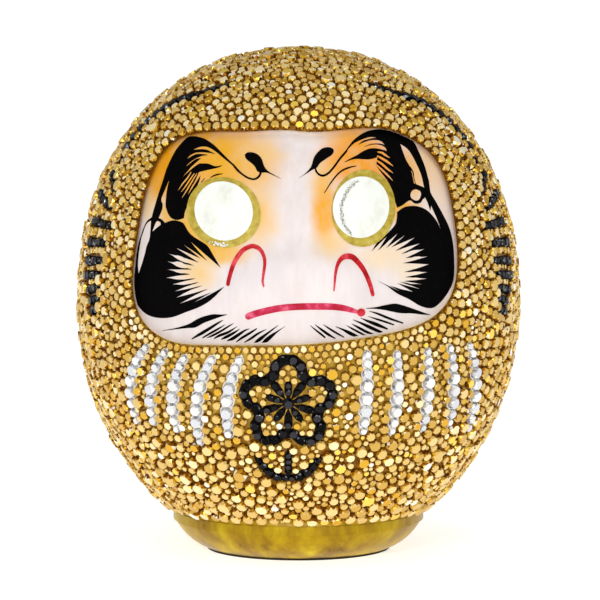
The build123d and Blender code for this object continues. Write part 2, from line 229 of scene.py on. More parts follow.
def read_crystals(name):
    """(centre of the back, axis, radius, height) of each crystal in a CAD node: a wall, a back, a table."""
    mesh = nodes[name].data
    points = vertex_table(mesh)
    surfaces = blocks(mesh)
    crystals = []
    for first in range(0, len(surfaces), 3):
        parts = [points[start:end] for start, end in surfaces[first:first + 3]]
        table, back = sorted((disc(part) for part in parts if is_flat(part)), key=lambda found: found[1])
        height = np.linalg.norm(table[0] - back[0])
        crystals.append((back[0], (table[0] - back[0]) / height, back[1], height))
    return crystals


# The cut: reaches are shares of a crystal's radius, rises are shares of its height
SIDES = 8
TABLE_REACH = 0.78
STAR_REACH = 0.90
STAR_RISE = 0.62
GIRDLE_REACH = 0.985
GIRDLE_RISE = 0.14
BACK_REACH = 0.97
LEAN = 0.035  # how far from square a crystal is set


def cut_template():
    """Points of a cut crystal for radius 1 and height 1, its faces, and the part each face plays."""
    def circle(count, reach, rise, turn):
        angles = (np.arange(count) + turn) * 2 * math.pi / count
        return np.stack([reach * np.cos(angles), reach * np.sin(angles), np.full(count, rise)], 1)

    rims = 2 * SIDES
    points = np.concatenate([
        circle(rims, BACK_REACH, 0.0, 0),
        circle(rims, GIRDLE_REACH, GIRDLE_RISE, 0),
        circle(SIDES, STAR_REACH, STAR_RISE, 0.5),
        circle(SIDES, TABLE_REACH, 1.0, 0),
    ])
    girdle, star, table = rims, 2 * rims, 2 * rims + SIDES
    faces, parts = [tuple(range(rims - 1, -1, -1))], ["back"]
    for i in range(rims):
        j = (i + 1) % rims
        faces.append((i, j, girdle + j, girdle + i))
        parts.append("wall")
    for i in range(SIDES):
        low, middle, high = girdle + 2 * i, girdle + 2 * i + 1, girdle + (2 * i + 2) % rims
        faces += [(low, middle, star + i), (middle, high, star + i)]
        faces.append((low, star + i, table + i, star + (i - 1) % SIDES))
        faces.append((star + i, table + (i + 1) % SIDES, table + i))
        parts += ["lower", "lower", "kite", "star"]
    faces.append(tuple(table + i for i in range(SIDES)))
    parts.append("table")
    return points, faces, parts


def any_across(axis):
    """Two unit vectors square to the axis and to each other."""
    helper = np.array([0.0, 0.0, 1.0]) if abs(axis[2]) < 0.9 else np.array([1.0, 0.0, 0.0])
    across = np.cross(helper, axis)
    across /= np.linalg.norm(across)
    return across, np.cross(axis, across)


def cut_crystals(name, palette, mixtures, seed):
    """Rebuilds a CAD node's plain crystals as faceted ones, each facet with its own fixed colour: a painted
    reflection, highlight or shade.
    """
    picker = random.Random(seed)
    template, faces, parts = cut_template()
    all_points, all_faces, all_materials = [], [], []
    for back, axis, radius, height in read_crystals(name):
        lean = np.array([picker.gauss(0, LEAN) for _ in range(3)])
        axis = axis + lean
        axis /= np.linalg.norm(axis)
        across, along = any_across(axis)
        turn = picker.uniform(0, math.pi)
        side = math.cos(turn) * across + math.sin(turn) * along
        frame_axes = np.stack([side, np.cross(axis, side), axis])
        placed = back + (template * [radius, radius, height]) @ frame_axes
        start = len(all_points) * len(template)
        all_points.append(placed)
        mixture = mixtures[picker.choices(range(len(mixtures)), [m["share"] for m in mixtures])[0]]
        for face, part in zip(faces, parts):
            all_faces.append(tuple(start + i for i in face))
            all_materials.append(picker.choices(mixture[part][0], mixture[part][1])[0])
    piece = make_piece(name + "_cut", np.concatenate(all_points), all_faces, palette, all_materials)
    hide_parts(name)
    return piece


def sheen(name, colour, roughness, metallic, coat, tint=(255, 255, 255), specular=0.5):
    """One colour of facet, standing in for the light or shade that the facet shows: painted reflection,
    highlight or shade. Its real reflections take on the tint.
    """
    material, shader = new_material(name, roughness, metallic, coat, colour)
    shader.inputs["Specular IOR Level"].default_value = specular
    shader.inputs["Specular Tint"].default_value = (*srgb(*tint), 1)
    shader.inputs["Coat Tint"].default_value = (*srgb(*tint), 1)
    return material


FOIL = (255, 234, 165)
# Each gold facet colour is painted light: tan, warm and pale tables are a painted reflection of the lamps,
# bright and glint facets are painted highlights, brown and dark walls and lower facets are painted shade.
GOLD = [
    sheen("gold_table_tan", (236, 210, 144), 0.45, 0.10, 0.10, FOIL),
    sheen("gold_table_warm", (222, 190, 116), 0.45, 0.10, 0.10, FOIL),
    sheen("gold_table_pale", (250, 232, 184), 0.42, 0.10, 0.15, FOIL),
    sheen("gold_table_deep", (204, 164, 74), 0.42, 0.15, 0.10, FOIL),
    sheen("gold_facet_bright", (250, 218, 98), 0.22, 0.45, 0.30, FOIL),
    sheen("gold_facet_honey", (216, 168, 44), 0.24, 0.50, 0.20, FOIL),
    sheen("gold_facet_amber", (172, 116, 18), 0.28, 0.50, 0.0, FOIL, 0.3),
    sheen("gold_facet_brown", (130, 76, 8), 0.32, 0.40, 0.0, FOIL, 0.2),
    sheen("gold_facet_dark", (80, 42, 6), 0.36, 0.30, 0.0, FOIL, 0.15),
    sheen("gold_painted_glint", (255, 250, 226), 0.10, 0.15, 1.0),
]
TAN, WARM, PALE, DEEP, BRIGHT, HONEY, AMBER, BROWN, DARK, GOLD_GLINT = range(10)
# Mixes of facet colours, as (colours, weights) for each part of a crystal, with fewer or more painted
# glints.
GOLD_FEW_GLINTS = {
    "share": 6,
    "table": ([TAN, WARM, PALE, DEEP], [5, 6, 1, 2]),
    "star": ([TAN, WARM, DEEP, BRIGHT, AMBER], [4, 4, 2, 1, 1]),
    "kite": ([WARM, HONEY, AMBER, BROWN, BRIGHT], [2, 3, 4, 3, 1]),
    "lower": ([HONEY, AMBER, BROWN, DARK], [1, 2, 5, 4]),
    "wall": ([BROWN, DARK], [2, 5]),
    "back": ([BROWN], [1]),
}
GOLD_MANY_GLINTS = {
    "share": 2,
    "table": ([PALE, BRIGHT, HONEY, DEEP, GOLD_GLINT], [4, 2, 2, 4, 1]),
    "star": ([GOLD_GLINT, BRIGHT, HONEY, BROWN, PALE], [2, 3, 2, 2, 2]),
    "kite": ([GOLD_GLINT, BRIGHT, HONEY, AMBER, BROWN, DARK], [1, 3, 3, 3, 3, 1]),
    "lower": ([BRIGHT, HONEY, AMBER, BROWN, DARK], [1, 2, 3, 4, 4]),
    "wall": ([BROWN, DARK], [2, 5]),
    "back": ([BROWN], [1]),
}
GOLD_MANY_GLINTS_OFTEN = {**GOLD_MANY_GLINTS, "share": 6}
GOLD_DEEPER = {**GOLD_FEW_GLINTS, "table": ([TAN, WARM, DEEP, HONEY], [2, 5, 4, 2])}
# Clear facet colours are painted light: white and milk facets are painted highlights and reflections, grey
# and shade facets are painted shade.
CLEAR = [
    sheen("clear_table", (226, 226, 224), 0.30, 0.05, 0.2),
    sheen("clear_white", (248, 248, 247), 0.15, 0.0, 0.6),
    sheen("clear_silver", (210, 212, 216), 0.20, 0.25, 0.4),
    sheen("clear_grey", (200, 203, 210), 0.20, 0.35, 0.6),
    sheen("clear_shade", (150, 153, 162), 0.22, 0.40, 0.6),
]
MILK, WHITE, SILVER, GREY, SHADE = range(5)
CLEAR_CUT = {
    "share": 1,
    "table": ([MILK, WHITE, SILVER], [4, 1, 3]),
    "star": ([WHITE, SILVER, GREY, MILK], [3, 3, 2, 2]),
    "kite": ([WHITE, SILVER, GREY, SHADE], [3, 4, 2, 1]),
    "lower": ([SILVER, GREY, SHADE], [4, 3, 1]),
    "wall": ([GREY, SHADE], [2, 1]),
    "back": ([GREY], [1]),
}
# Jet facets: coal and black are the stone's own black; slate facets are painted reflections and glint
# facets painted glints.
JET = [
    sheen("jet_table", (20, 20, 22), 0.3, 0.0, 0.0, specular=0.08),
    sheen("jet_black", (5, 5, 6), 0.3, 0.0, 0.0, specular=0.05),
    sheen("jet_slate", (46, 46, 50), 0.25, 0.0, 0.0, specular=0.15),
    sheen("jet_glint", (150, 154, 164), 0.14, 0.2, 1.0),
]
COAL, BLACK, SLATE, GLINT = range(4)
JET_CUT = {
    "share": 1,
    "table": ([COAL, BLACK, SLATE], [3, 2, 2]),
    "star": ([COAL, BLACK, SLATE, GLINT], [3, 3, 3, 1]),
    "kite": ([COAL, BLACK, SLATE, GLINT], [3, 4, 3, 1]),
    "lower": ([COAL, BLACK, SLATE], [3, 5, 1]),
    "wall": ([BLACK], [1]),
    "back": ([BLACK], [1]),
}

JET_WORDS = ("flower", "leaf", "hood", "dash")
# Crown and cheek crystals get the mix with many painted glints and dark facets more often.
MANY_GLINT_NODES = ("crown_crystals", "left_cheek_crystals", "right_cheek_crystals")
for number, name in enumerate(sorted(n for n in nodes if "crystals" in n)):
    if "stripe" in name:
        cut_crystals(name, CLEAR, [CLEAR_CUT], number)
    elif any(word in name for word in JET_WORDS):
        cut_crystals(name, JET, [JET_CUT], number)
    elif name == "chest_crystals":
        cut_crystals(name, GOLD, [GOLD_DEEPER, GOLD_MANY_GLINTS], number)
    elif name in MANY_GLINT_NODES:
        cut_crystals(name, GOLD, [GOLD_FEW_GLINTS, GOLD_MANY_GLINTS_OFTEN], number)
    else:
        cut_crystals(name, GOLD, [GOLD_FEW_GLINTS, GOLD_MANY_GLINTS], number)

# -------------------------------------------------- finishes of the shell, foot and eyes

# Heights on the shell, in metres, over which one colour gives way to the next, painted shade included
FOOT_RIM = (0.0142, 0.0160)
CHEST_FOOT = (0.036, 0.044)
CHEST_TOP = (0.070, 0.080)
FRONT_DEPTH = (-0.045, -0.035)  # Y, where the front gives way to the sides
# The deep amber is painted shade between the crystals and the chest's amber a lighter painted shade; the
# bright gold is the foot rim's own paint.
SHELL_PAINTED_SHADE = [(0.3, (92, 52, 6)), (0.5, (126, 80, 12)), (0.7, (160, 112, 28))]
SHELL_BRIGHT = [(0.3, (150, 112, 8)), (0.5, (184, 148, 18)), (0.7, (208, 174, 36))]
SHELL_CHEST_SHADE = [(0.3, (122, 84, 16)), (0.5, (160, 122, 34)), (0.7, (204, 168, 74))]
SHELL_CREAM = [(0.3, (232, 212, 176)), (0.7, (246, 236, 218))]


def shell_paint():
    """Gold paint: open on the bare rim over the foot; above it, deep amber between the crystals as painted
    shade, lighter on the front of the chest.

    The wall of the face opening is cream, as the face's own ground runs up it; the cream also lifts the
    shade in the recess, which is painted light.
    """
    material, shader = new_material("gold_shell_paint", roughness=0.45, metallic=0.3)
    shader.inputs["Specular Tint"].default_value = (*srgb(*FOIL), 1)
    brushing = noise(material, 420, detail=5.0, stretch=(1, 1, 0.35))
    place = add_node(material, "ShaderNodeSeparateXYZ")
    link(material, object_place(material), place.inputs["Vector"])
    rise = place.outputs["Z"]
    front = spread(material, place.outputs["Y"], *FRONT_DEPTH, 1.0, 0.0)
    over_foot = spread(material, rise, *FOOT_RIM, 0.0, 1.0)
    over_belly = spread(material, rise, *CHEST_FOOT, 0.0, 1.0)
    under_face = spread(material, rise, *CHEST_TOP, 1.0, 0.0)
    on_chest = product(material, product(material, over_belly, front), under_face)
    on_wall = product(material, wall_share(material), front)
    colour = ramp(material, brushing, SHELL_BRIGHT)
    colour = mix(material, over_foot, colour, ramp(material, brushing, SHELL_PAINTED_SHADE))
    colour = mix(material, on_chest, colour, ramp(material, brushing, SHELL_CHEST_SHADE))
    colour = mix(material, on_wall, colour, ramp(material, brushing, SHELL_CREAM))
    link(material, colour, shader.inputs["Base Color"])
    bump(material, shader, brushing, 0.3, STROKE_DEPTH)
    return material


ON_EDGE = (0.45, 0.75)  # how far a surface faces outward, from standing on edge to lying flat


def wall_share(material):
    """1 on surfaces that stand on edge to the body's own surface, 0 on that surface."""
    outward = vector_math(material, "SUBTRACT", object_place(material), (0, 0, BODY_MIDDLE))
    unit = vector_math(material, "NORMALIZE", outward.outputs["Vector"])
    normal = add_node(material, "ShaderNodeTexCoord").outputs["Normal"]
    facing = vector_math(material, "DOT_PRODUCT", unit.outputs["Vector"], normal)
    return spread(material, facing.outputs["Value"], *ON_EDGE, 1.0, 0.0)


WANDER = 0.002  # how far a wash's rim strays either way


def flat_share(material, centre, reach, soft):
    """1 inside an ellipse on the face, given in mm across and up, fading to 0 at its uneven rim."""
    place = object_place(material)
    wander = add_node(material, "ShaderNodeTexNoise", {"Scale": 160.0, "Detail": 3.0})
    link(material, place, wander.inputs["Vector"])
    strength = (2 * WANDER, 0, 2 * WANDER)
    strayed = vector_math(material, "MULTIPLY_ADD", wander.outputs["Color"], strength, place)
    middle = (centre[0] * MM + WANDER, 0, centre[1] * MM + WANDER)
    local = vector_math(material, "SUBTRACT", strayed.outputs["Vector"], middle)
    scale = (1 / (reach[0] * MM), 0, 1 / (reach[1] * MM))
    scaled = vector_math(material, "MULTIPLY", local.outputs["Vector"], scale)
    length = vector_math(material, "LENGTH", scaled.outputs["Vector"])
    return spread(material, length.outputs["Value"], 1 - soft, 1.0, 1.0, 0.0)


GROUND_TINTS = [(0.25, (222, 209, 205)), (0.5, (228, 217, 214)), (0.75, (234, 225, 223))]
COOL_TINT = (214, 208, 214)
COOL_SPAN = (0.5, 0.72)  # of the broad noise
COOL_MOST = 0.35
STREAK_LEAST = 0.78
FACE_BLUSHES = [
    # centre, reach (mm across and up), softness, strength, colour
    ((-32, 121), (20, 18), 0.6, 1.0, (233, 163, 20)),
    ((-17, 122), (17, 13), 0.7, 0.95, (233, 171, 36)),
    ((-42, 118), (9, 11), 0.5, 1.0, (231, 157, 14)),
    ((-41, 106), (6, 8), 0.8, 0.35, (231, 193, 96)),
    ((-35, 104), (8, 7), 0.5, 1.0, (227, 171, 40)),
    ((-30, 99), (8, 6), 0.6, 0.9, (233, 179, 50)),
    ((-12, 107), (9, 14), 0.9, 0.95, (235, 187, 102)),
    ((-11, 124), (9, 7), 0.9, 0.55, (237, 203, 146)),
    ((-23, 96.5), (12, 6), 0.8, 1.0, (231, 175, 50)),
    ((-30, 90), (9, 8), 0.9, 0.85, (235, 193, 110)),
    ((15, 129), (13, 6), 0.9, 0.8, (235, 179, 74)),
    ((17.5, 122), (15, 10), 0.6, 1.0, (237, 155, 10)),
    ((28, 118), (9, 10), 0.7, 0.85, (234, 148, 34)),
    ((7, 117), (6, 9), 0.9, 0.8, (236, 182, 70)),
    ((-45, 109), (4, 9), 0.9, 0.6, (234, 190, 90)),
    ((8, 108), (6, 13), 0.8, 1.0, (235, 163, 20)),
    ((10, 99), (9, 7), 0.9, 0.75, (237, 193, 110)),
    ((34, 117), (7, 11), 0.8, 0.9, (233, 175, 84)),
    ((31, 107), (8, 5), 0.7, 1.0, (229, 165, 36)),
    ((41, 120), (9, 16), 0.8, 0.95, (237, 199, 152)),
    ((43, 108), (7, 14), 0.9, 0.6, (237, 211, 186)),
    ((25, 95), (13, 7), 0.9, 0.55, (239, 203, 136)),
    ((33, 90), (8, 7), 0.9, 0.65, (237, 213, 170)),
]


def face_paint():
    """A chalky pinkish white ground with amber washes brushed round the brows and eyes."""
    material, shader = new_material("face_ground", roughness=0.6)
    shader.inputs["Specular IOR Level"].default_value = 0.2
    fine = noise(material, 300, detail=6.0, stretch=(1, 1, 0.3))
    broad = noise(material, 45, detail=3.0)
    colour = ramp(material, fine, GROUND_TINTS)
    cool = spread(material, broad, *COOL_SPAN, 0.0, COOL_MOST)
    colour = mix(material, cool, colour, COOL_TINT)
    streak = spread(material, fine, *STROKE_SPAN, STREAK_LEAST, 1.0)
    for centre, reach, soft, strength, tint in FACE_BLUSHES:
        share = product(material, flat_share(material, centre, reach, soft), streak)
        colour = mix(material, product(material, share, strength), colour, tint)
    link(material, colour, shader.inputs["Base Color"])
    bump(material, shader, fine, 0.15, 0.0001)
    return material


FACE_GROUND = face_paint()
BLACK_STOPS = [(0.3, (1, 1, 1)), (0.55, (3, 2, 3)), (0.75, (12, 6, 5))]
BLACK_PAINT = painted("brush_black", BLACK_STOPS, 500, 0.7, specular=0.04)
RED_STOPS = [(0.38, (162, 10, 18)), (0.5, (192, 26, 36)), (0.64, (218, 76, 92))]
RED_PAINT = painted("brush_red", RED_STOPS, 260, 0.55, specular=0.2)
ROSE_STOPS = [(0.38, (172, 14, 46)), (0.5, (198, 44, 80)), (0.64, (222, 108, 134))]
ROSE_PAINT = painted("brush_rose", ROSE_STOPS, 200, 0.55, specular=0.2)
EYE_STOPS = [(0.3, (230, 231, 219)), (0.5, (242, 245, 236)), (0.7, (250, 252, 246))]
EYE_WHITE = painted("eye_white_coat", EYE_STOPS, 160, 0.32, (1, 1, 0.6), coat=0.3, relief=0.15)
RING_STOPS = [
    (0.28, (150, 128, 28)), (0.45, (180, 156, 46)), (0.6, (194, 174, 70)), (0.78, (216, 202, 110)),
]
RING_GOLD = painted("eye_ring_gold", RING_STOPS, 520, 0.5, metallic=0.1, relief=0.5)
FOOT_STOPS = [(0.28, (104, 72, 0)), (0.45, (156, 122, 0)), (0.58, (184, 154, 4)), (0.75, (216, 196, 36))]
FOOT_GOLD = painted(
    "foot_gold", FOOT_STOPS, 120, 0.34, (1, 1, 0.4), metallic=0.35, coat=0.04, relief=0.6, specular=0.2
)
# The paper disc under the foot is near black: painted shadow, standing in for the dark contact shadow under
# the foot's edge.
SHADOW_DARK_PAPER_STOPS = [(0.3, (22, 17, 13)), (0.5, (34, 27, 20)), (0.7, (50, 41, 31))]
BASE_PAPER_AS_SHADOW = painted("base_paper", SHADOW_DARK_PAPER_STOPS, 300, 0.85, relief=0.6)
STRIP_PAPER = painted("strip_paper", [(0.3, (172, 146, 96)), (0.7, (208, 184, 132))], 260, 0.8, relief=0.6)
WHITE_PAINT = painted("brush_white", [(0.3, (226, 226, 222)), (0.7, (246, 246, 242))], 300, 0.5)
GREY_SPECKS = painted("grey_specks", [(0.35, (140, 142, 132)), (0.6, (200, 200, 188))], 2200, 0.4, metallic=0.2)

NODE_FINISHES = {
    "paper_body": shell_paint(),
    "back_slit_strip": STRIP_PAPER,
    "face_ground_coat": FACE_GROUND,
    "left_eye_white": EYE_WHITE,
    "right_eye_white": EYE_WHITE,
    "left_eye_ring": RING_GOLD,
    "right_eye_ring": RING_GOLD,
    "foot_weight": FOOT_GOLD,
    "foot_joint_band": FOOT_GOLD,
    "base_paper_disc": BASE_PAPER_AS_SHADOW,
}
for name, finish in NODE_FINISHES.items():
    nodes[name].data.materials.clear()
    nodes[name].data.materials.append(finish)

# -------------------------------------------------- brush work on the face


def surface_tree(*names):
    """A tree for finding points on the outside of these CAD nodes."""
    points, triangles = [], []
    for name in names:
        mesh = nodes[name].data
        start = len(points)
        points += [tuple(v.co) for v in mesh.vertices]
        triangles += [tuple(start + i for i in p.vertices) for p in mesh.polygons]
    return BVHTree.FromPolygons(points, triangles)


FACE_TREE = surface_tree("face_ground_coat")
EYE_TREE = surface_tree(
    "face_ground_coat", "left_eye_white", "right_eye_white", "left_eye_ring", "right_eye_ring"
)
FORWARD = Vector((0, 1, 0))
BEFORE_FACE = -0.2  # Y to look from
BEHIND_FACE = -0.025  # Y past which a hit is no longer on the face


def on_face(tree, across, up):
    """Point and outward normal on the face, seen square on, for a place in mm, or None beside it."""
    point, normal, _, _ = tree.ray_cast(Vector((across * MM, BEFORE_FACE, up * MM)), FORWARD)
    if point is None or point.y > BEHIND_FACE:
        return None
    return point, -normal if normal.y > 0 else normal


FACE_MIDDLE = np.array([0.0, 100.0])  # mm across and up, as are all places on the face
EDGE_MARGIN = 0.45
INWARD_STEP = 0.1
CURVE_STEP = 0.45
SAME_PLACE = 0.02
LEAST_WIDTH = 0.06  # of a stroke, at its tip
LEAST_ROUND_END = 0.12
GRID_STEP = 1.6  # between the points that a coat follows the face at
INSIDE_ONLY = 1  # the triangulation's mode that keeps to the outline
WELD = 1e-5


def kept_on(tree, place):
    """The place drawn in towards the middle of the face until it lies a margin inside the coat's rim."""
    place = np.array(place[:2], float)
    inward = (FACE_MIDDLE - place) / np.linalg.norm(FACE_MIDDLE - place)
    while on_face(tree, *(place - inward * EDGE_MARGIN)) is None:
        place = place + inward * INWARD_STEP
    return place


def smooth(points, step=CURVE_STEP):
    """A curve through the points, cut about every step mm. Extra values such as width ride along."""
    points = [np.array(p, float) for p in points]
    if len(points) < 3:
        return points
    ends = [2 * points[0] - points[1]] + points + [2 * points[-1] - points[-2]]
    out = []
    for p0, p1, p2, p3 in zip(ends, ends[1:], ends[2:], ends[3:]):
        cuts = max(1, int(np.linalg.norm((p2 - p1)[:2]) / step))
        for i in range(cuts):
            t = i / cuts
            bend = 2 * p1 + (p2 - p0) * t + (2 * p0 - 5 * p1 + 4 * p2 - p3) * t * t
            out.append((bend + (3 * p1 - p0 - 3 * p2 + p3) * t ** 3) / 2)
    return out + [points[-1]]


def closed_outline(runs):
    """One closed line from smooth runs, each going on from the sharp corner where the last one ended."""
    line, corner = [], []
    for run in runs:
        line += smooth(corner + run)
        corner = run[-1:]
    kept = [line[0]]
    for point in line[1:]:
        if np.linalg.norm(point - kept[-1]) > SAME_PLACE:
            kept.append(point)
    if np.linalg.norm(kept[0] - kept[-1]) < SAME_PLACE:
        kept.pop()
    return kept


def stroke_outline(points):
    """The closed line round a brush stroke given as places and widths, round where it is cut off wide."""
    line = smooth(points)
    left, right = [], []
    for i, point in enumerate(line):
        heading = (line[min(i + 1, len(line) - 1)] - line[max(i - 1, 0)])[:2]
        heading /= max(np.linalg.norm(heading), 1e-9)
        side = np.array([-heading[1], heading[0]]) * max(point[2], LEAST_WIDTH) / 2
        left.append(point[:2] + side)
        right.append(point[:2] - side)
    return left + round_end(left[-1], right[-1]) + right[::-1] + round_end(right[0], left[0])


def strokes(lines):
    return [stroke_outline(line) for line in lines]


def round_end(start, end):
    """Points of the half circle from start to end, clockwise, or none for a sharp tip."""
    middle, spoke = (start + end) / 2, (start - end) / 2
    if np.linalg.norm(spoke) < LEAST_ROUND_END:
        return []
    ahead = np.array([spoke[1], -spoke[0]])
    angles = [math.pi * k / 6 for k in range(1, 6)]
    return [middle + spoke * math.cos(a) + ahead * math.sin(a) for a in angles]


def inside(line, across, up):
    """Whether the closed line goes round this place."""
    odd = False
    for (x0, y0), (x1, y1) in zip(line, line[1:] + line[:1]):
        if (y0 > up) != (y1 > up) and across < (x1 - x0) * (up - y0) / (y1 - y0) + x0:
            odd = not odd
    return odd


def paint_layer(name, outlines, material, lift, sink=-0.03, tree=FACE_TREE):
    """A thin coat of paint over each closed outline, from sink mm to lift mm proud of the face."""
    points, faces = [], []
    for outline in outlines:
        line = [tuple(kept_on(tree, p)) for p in outline]
        low, high = np.min(line, 0), np.max(line, 0)
        seeds = [Vector(p) for p in line]
        for across in np.arange(low[0] + GRID_STEP / 4, high[0], GRID_STEP):
            for up in np.arange(low[1] + GRID_STEP / 4, high[1], GRID_STEP):
                if inside(line, across, up):
                    seeds.append(Vector((across, up)))
        rim = [(i, (i + 1) % len(line)) for i in range(len(line))]
        flat, _, triangles, _, _, _ = delaunay_2d_cdt(seeds, rim, [], INSIDE_ONLY, WELD)
        start, count = len(points), len(flat)
        placed = [on_face(tree, p[0], p[1]) for p in flat]
        points += [point + normal * lift * MM for point, normal in placed]
        points += [point + normal * sink * MM for point, normal in placed]
        edges = {}
        for triangle in triangles:
            a, b, c = triangle
            turn = (flat[b] - flat[a]).cross(flat[c] - flat[a])
            a, b, c = (a, b, c) if turn > 0 else (a, c, b)
            faces.append((start + a, start + b, start + c))
            faces.append((start + count + a, start + count + c, start + count + b))
            for u, v in ((a, b), (b, c), (c, a)):
                if edges.pop((v, u), None) is None:
                    edges[(u, v)] = True
        for u, v in edges:
            faces.append((start + v, start + u, start + count + u, start + count + v))
    return make_piece(name, points, faces, [material], None)


def dot_outline(across, up, radius, count):
    """A round dot as a closed line of count points."""
    angles = [2 * math.pi * k / count for k in range(count)]
    return [np.array([across + radius * math.cos(a), up + radius * math.sin(a)]) for a in angles]


# -------------------------------------------------- the painted shapes and lines

# Closed shapes: runs of (across, up) in mm, each going on from the sharp corner where the last one ended
LEFT_BROW = [
    [(-43.2, 104.3), (-42.9, 105.5), (-42.1, 108.2), (-41, 111.7), (-39.9, 114.9), (-38.9, 118),
     (-37.6, 120.8), (-36.1, 123.5), (-34.4, 125.5), (-32.9, 127), (-32.1, 127.4), (-30.6, 127.6),
     (-29.3, 127.5), (-27.6, 127.2), (-25.9, 126.4), (-24.2, 125.3), (-21.2, 122.7), (-18.9, 120.8)],
    [(-18.9, 120.3)],
    [(-22.1, 122.5), (-24.4, 124.1), (-26.6, 125.1), (-28.5, 125.1), (-29.7, 124.7), (-31.1, 124)],
    [(-28.5, 124.4), (-26.8, 124.3), (-24.5, 123.4)],
    [(-26.3, 123.6), (-28.5, 123.6), (-30.6, 123.2), (-32.1, 122.3), (-32.9, 121.3)],
    [(-31.9, 122), (-30.2, 122.9), (-28.5, 123.1), (-26.6, 123)],
    [(-28.5, 122.6), (-30.6, 121.6), (-32.3, 120.3), (-33.4, 119.1)],
    [(-31.9, 120.3), (-30.2, 121.6), (-28.7, 122)],
    [(-29.7, 121.1), (-31.4, 119.6), (-32.7, 118.1), (-34.6, 115.7)],
    [(-33.1, 117.3), (-31.7, 118.6), (-29.5, 120.3), (-28, 120.6), (-26.3, 120.6), (-24.4, 120.1),
     (-22.4, 120.5)],
    [(-23.6, 119.8), (-26.6, 119), (-29.3, 118.2)],
    [(-30.4, 115.7), (-31.7, 113.6), (-32.7, 111.4)],
    [(-31.4, 113.3), (-30.2, 115.2), (-28.8, 117.3)],
    [(-29.3, 115.4), (-30.4, 113.4), (-32, 110.5), (-32.6, 108.9), (-33.4, 106.8), (-33.7, 105.1)],
    [(-35.6, 104.4), (-37.3, 104.7), (-38.3, 105.8), (-38.8, 107), (-39.1, 108.5), (-38.7, 112.4),
     (-38, 115.4)],
    [(-38.9, 113.5), (-39.6, 111.8), (-40.3, 110.2), (-40.4, 109.2), (-40, 108.4), (-40.1, 107.2),
     (-40.4, 106.2), (-41.2, 104.3)],
    [(-43.2, 104.3)],
]
LEFT_BEARD_EDGE = [
    [(-43.2, 104.3), (-44.2, 103.5), (-44.9, 102.6), (-45.7, 100.8), (-46.4, 98.7), (-47, 96.8),
     (-47.8, 93.2), (-48.4, 91), (-48.6, 87.8), (-48.8, 85.7), (-48.7, 82.6), (-47.6, 78.9), (-45, 76.3),
     (-41.6, 75.5), (-37.3, 76.1), (-33.1, 78), (-28.8, 80), (-25.4, 82.4), (-21.8, 86.2)],
]
LEFT_BEARD_SPIKES = [
    (-31.1, 80.8), (-25.5, 84.4), (-35, 80.3), (-26.6, 85.3), (-36.1, 82), (-28.2, 86.2), (-36.5, 83.8),
    (-29.1, 87.1), (-37.3, 85.7), (-30.1, 88.1), (-39.1, 87.5), (-31.8, 89.2), (-38.6, 90), (-31.3, 90.6),
    (-38.6, 92.3), (-30.7, 91.8), (-38.2, 94.6), (-29.3, 92.8), (-36.1, 96.5), (-28.8, 94), (-33.9, 97.7),
    (-26.9, 93.5), (-31.8, 98.7), (-22.9, 91.7),
]
LEFT_BEARD_TOP = [
    [(-25, 95.1), (-26.7, 97.7), (-28.8, 99), (-30.7, 100), (-32.2, 101.2), (-33.3, 102.9), (-34.1, 103.8),
     (-36.1, 104.2), (-37.8, 103.9), (-39.3, 103.2)],
    [(-39.7, 103.6), (-40.3, 104.1), (-41.2, 104.3), (-43.2, 104.3)],
]
LEFT_LOOP_GAP = [
    [(-43.4, 103.3), (-44.4, 102.6), (-45.2, 101.1), (-45.7, 99.6), (-46.3, 97.7), (-47, 93.3),
     (-47.2, 90.1), (-47, 87.9)],
    [(-46.6, 89.2), (-46.1, 90.7), (-45.3, 93.5), (-44.7, 95.9), (-43.9, 98), (-43.6, 100.3),
     (-43.4, 103.3)],
]
LEFT_DROP_GAP = [
    [(-42.9, 100.4), (-42.5, 101.5), (-41.8, 103.2), (-41.4, 103.5), (-40.6, 103.2), (-40.5, 102.6),
     (-41.4, 101.8), (-42.9, 100.4)],
]
LEFT_LEAF = [
    [(-40.1, 71.9), (-37.5, 72.6), (-34.8, 73.5), (-32, 74.7), (-30.1, 76), (-28.1, 77), (-25.3, 77.9),
     (-22.9, 78), (-20.8, 78.1)],
    [(-22.9, 77.3), (-25.3, 76.3), (-27.8, 75.2), (-30.3, 73.7), (-32.8, 73.3), (-36.3, 72.6),
     (-40.1, 71.8)],
]
